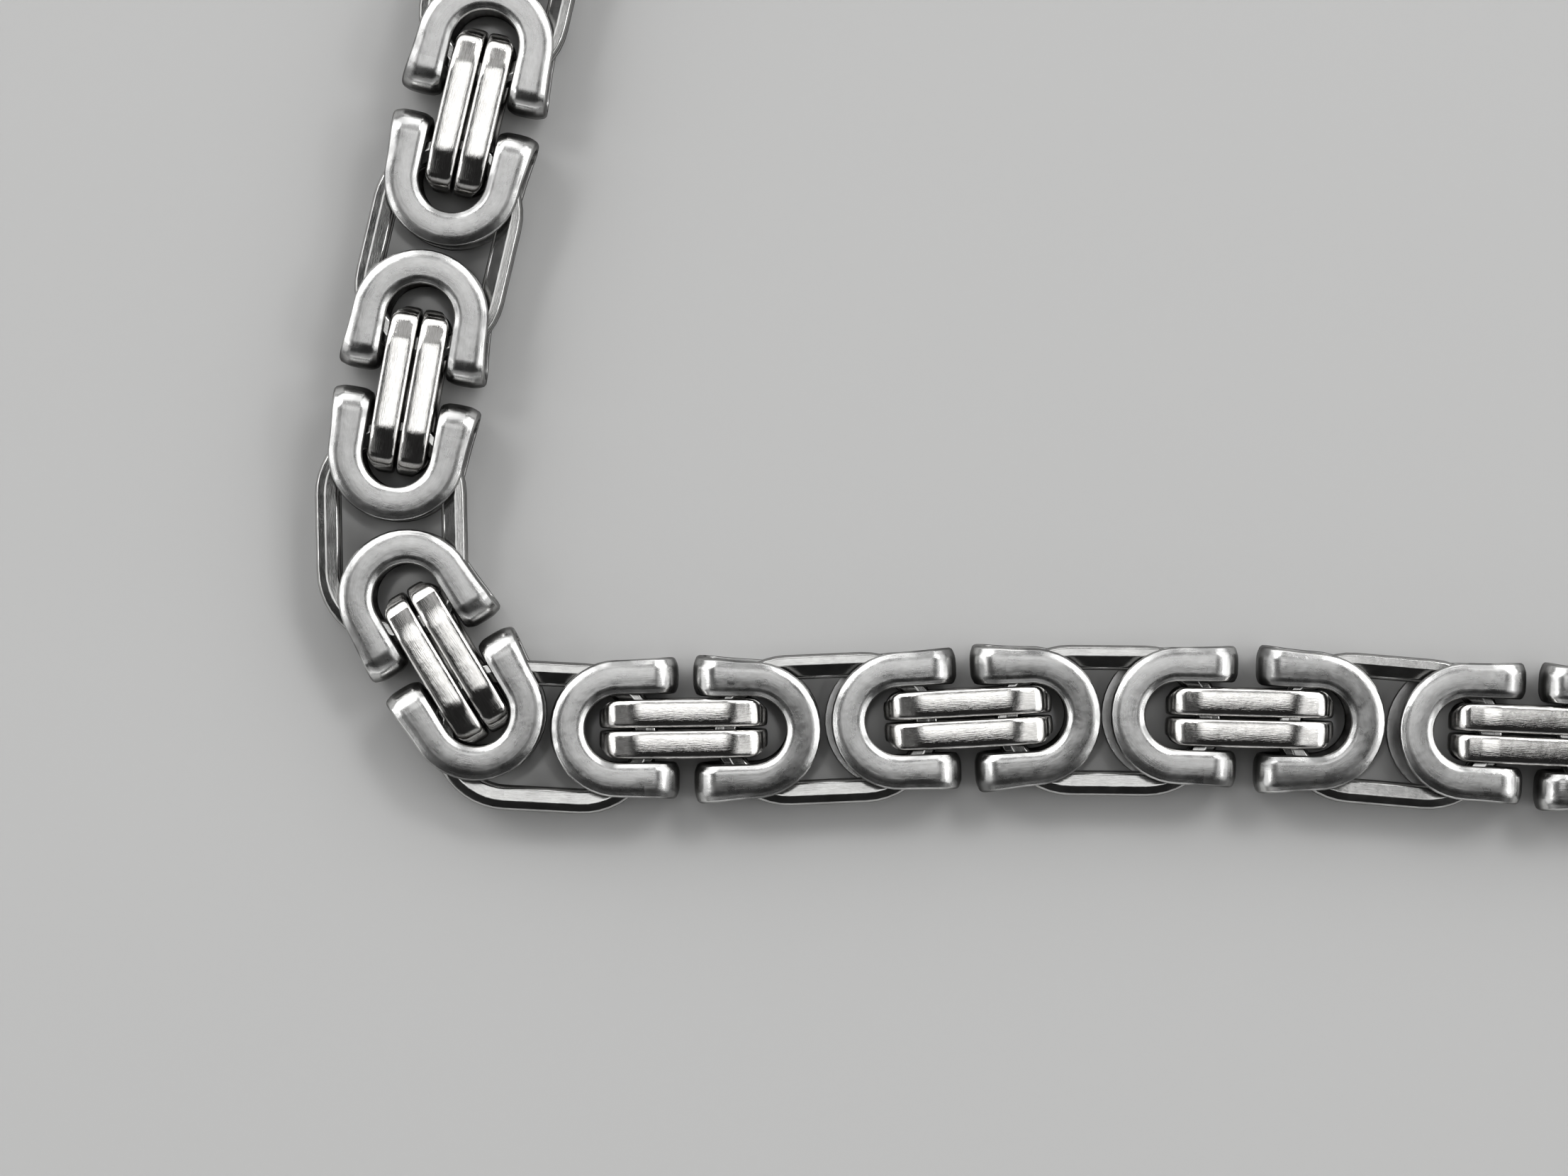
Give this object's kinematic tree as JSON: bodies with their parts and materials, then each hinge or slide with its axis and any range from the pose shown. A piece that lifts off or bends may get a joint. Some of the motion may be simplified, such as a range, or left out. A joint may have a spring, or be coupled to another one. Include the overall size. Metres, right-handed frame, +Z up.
{
  "type": "byzantine chain necklace",
  "caption": "Flat byzantine neck chain of folded steel clips, bar links on edge and stacked rail links, closed to a loop with one sharp bend, lying flat",
  "frame": {"origin": "centre of the loop's box on the surface it lies on", "axes": "+Z up from the surface, +X to the right and +Y away as the chain lies in the picture"},
  "size_m": [0.1676, 0.1518, 0.0027],
  "materials": {
    "link_steel": "brushed strip faces with polished bar tops",
    "clasp_steel": "satin"
  },
  "bodies": {
    "root": {"chain_left": "link_steel", "chain_right": "link_steel", "clasp": "clasp_steel"}
  },
  "joints": []
}
